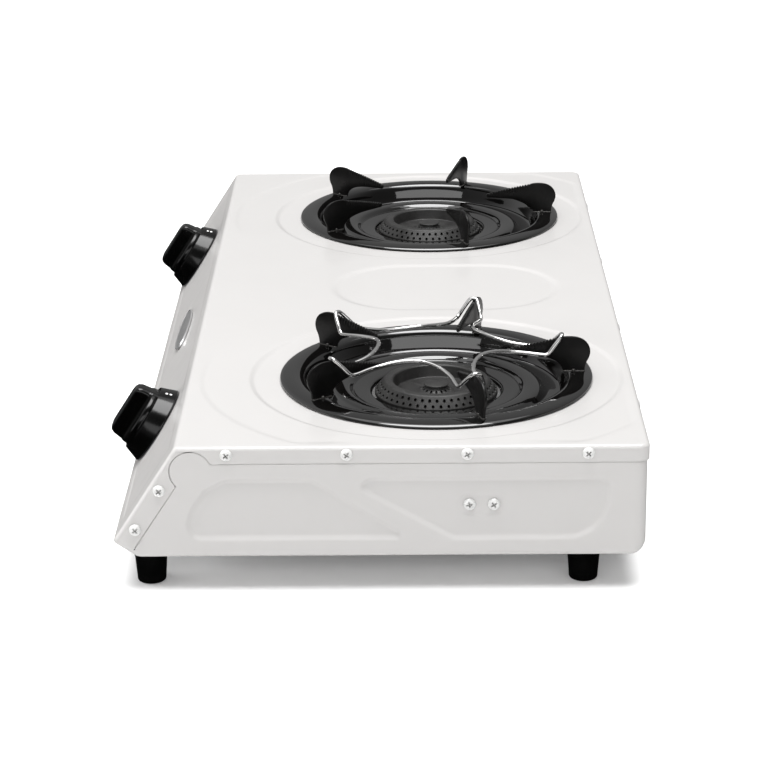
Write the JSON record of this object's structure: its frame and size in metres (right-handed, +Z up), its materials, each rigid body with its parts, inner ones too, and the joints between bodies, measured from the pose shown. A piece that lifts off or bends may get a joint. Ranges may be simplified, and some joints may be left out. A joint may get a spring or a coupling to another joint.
{
  "type": "two-burner tabletop gas stove",
  "caption": "Low white enamelled casing with a slanted control panel, lift-out black drip pans with pot-support fins, cast burners, knobs, rubber feet and a clip-on wire trivet.",
  "frame": {"origin": "on the table under the middle of the overall box, at the underside of the feet", "axes": "+Z up, +X to the right of a person facing the knobs, -Y towards that person; the knobs are on the -Y side"},
  "size_m": [0.6948, 0.373, 0.1308],
  "materials": {
    "white_enamel": "gloss vitreous enamel on pressed steel sheet",
    "black_enamel": "high-gloss black vitreous enamel",
    "fin_black": "satin black enamel on stamped plate",
    "cast_burner": "fine sand-cast, matte dark grey",
    "knob_plastic": "moulded heat-resistant plastic, gloss black",
    "chrome_wire": "bright plated wire",
    "screw_steel": "pale plated pan-head screws",
    "zinc_steel": "zinc-plated steel",
    "valve_brass": "machined brass",
    "rubber_black": "moulded black rubber",
    "badge_metal": "satin plate, blank"
  },
  "bodies": {
    "stove": {"top_cover": "white_enamel", "side_panel_right": "white_enamel", "side_panel_left": "white_enamel", "rear_panel": "white_enamel", "cover_screws": "screw_steel", "rear_screws": "screw_steel", "rail_screws": "screw_steel", "badge": "badge_metal", "feet": "rubber_black", "foot_screws": "zinc_steel", "foot_nuts": "zinc_steel", "support_rail": "zinc_steel", "burner_body_right": "cast_burner", "burner_body_left": "cast_burner", "burner_screws": "zinc_steel", "gas_pipe": "zinc_steel", "pipe_plug": "valve_brass", "hose_nipple": "valve_brass", "pipe_brackets": "zinc_steel", "valve_body_right": "valve_brass", "valve_body_left": "valve_brass", "valve_bonnet_right": "zinc_steel", "valve_bonnet_left": "zinc_steel", "bonnet_screws": "zinc_steel", "injectors": "valve_brass", "knob_bezel_right": "knob_plastic", "knob_bezel_left": "knob_plastic"},
    "pan_right": {"drip_pan_right": "black_enamel", "pan_fins_right": "fin_black"},
    "pan_left": {"drip_pan_left": "black_enamel", "pan_fins_left": "fin_black"},
    "trivet": {"wire_trivet": "chrome_wire"},
    "head_right": {"burner_head_right": "cast_burner"},
    "head_left": {"burner_head_left": "cast_burner"},
    "cap_right": {"burner_cap_right": "cast_burner"},
    "cap_left": {"burner_cap_left": "cast_burner"},
    "shutter_right": {"air_shutter_right": "zinc_steel"},
    "shutter_left": {"air_shutter_left": "zinc_steel"},
    "plug_right": {"valve_plug_right": "valve_brass"},
    "plug_left": {"valve_plug_left": "valve_brass"},
    "tap_right": {"spindle_right": "zinc_steel", "knob_right": "knob_plastic"},
    "tap_left": {"spindle_left": "zinc_steel", "knob_left": "knob_plastic"}
  },
  "joints": [
    {"name": "knob_turn_right", "type": "hinge", "parent": "stove", "child": "plug_right", "pos_m": [0.2041, -0.15433, 0.06389], "axis": [0, -0.8387, 0.5446], "range_deg": [0, 210]},
    {"name": "knob_push_right", "type": "slide", "parent": "plug_right", "child": "tap_right", "axis": [0, 0.8387, -0.5446], "range_m": [0, 0.003], "stiffness_N_per_m": 800, "springref_m": -0.004},
    {"name": "pan_lift_right", "type": "slide", "parent": "stove", "child": "pan_right", "axis": [0, 0, 1], "range_m": [0, 0.06]},
    {"name": "head_lift_right", "type": "slide", "parent": "stove", "child": "head_right", "axis": [0, 0, 1], "range_m": [0, 0.018]},
    {"name": "cap_lift_right", "type": "slide", "parent": "head_right", "child": "cap_right", "axis": [0, 0, 1], "range_m": [0, 0.02]},
    {"name": "shutter_turn_right", "type": "hinge", "parent": "stove", "child": "shutter_right", "pos_m": [0.2041, -0.13337, 0.05028], "axis": [0, 0.9865, 0.164], "range_deg": [0, 50]},
    {"name": "knob_turn_left", "type": "hinge", "parent": "stove", "child": "plug_left", "pos_m": [-0.2041, -0.15433, 0.06389], "axis": [0, -0.8387, 0.5446], "range_deg": [0, 210]},
    {"name": "knob_push_left", "type": "slide", "parent": "plug_left", "child": "tap_left", "axis": [0, 0.8387, -0.5446], "range_m": [0, 0.003], "stiffness_N_per_m": 800, "springref_m": -0.004},
    {"name": "pan_lift_left", "type": "slide", "parent": "stove", "child": "pan_left", "axis": [0, 0, 1], "range_m": [0, 0.06]},
    {"name": "head_lift_left", "type": "slide", "parent": "stove", "child": "head_left", "axis": [0, 0, 1], "range_m": [0, 0.018]},
    {"name": "cap_lift_left", "type": "slide", "parent": "head_left", "child": "cap_left", "axis": [0, 0, 1], "range_m": [0, 0.02]},
    {"name": "shutter_turn_left", "type": "hinge", "parent": "stove", "child": "shutter_left", "pos_m": [-0.2041, -0.13337, 0.05028], "axis": [0, 0.9865, 0.164], "range_deg": [0, 50]},
    {"name": "trivet_lift", "type": "slide", "parent": "pan_right", "child": "trivet", "axis": [0, 0, 1], "range_m": [0, 0.05]}
  ]
}
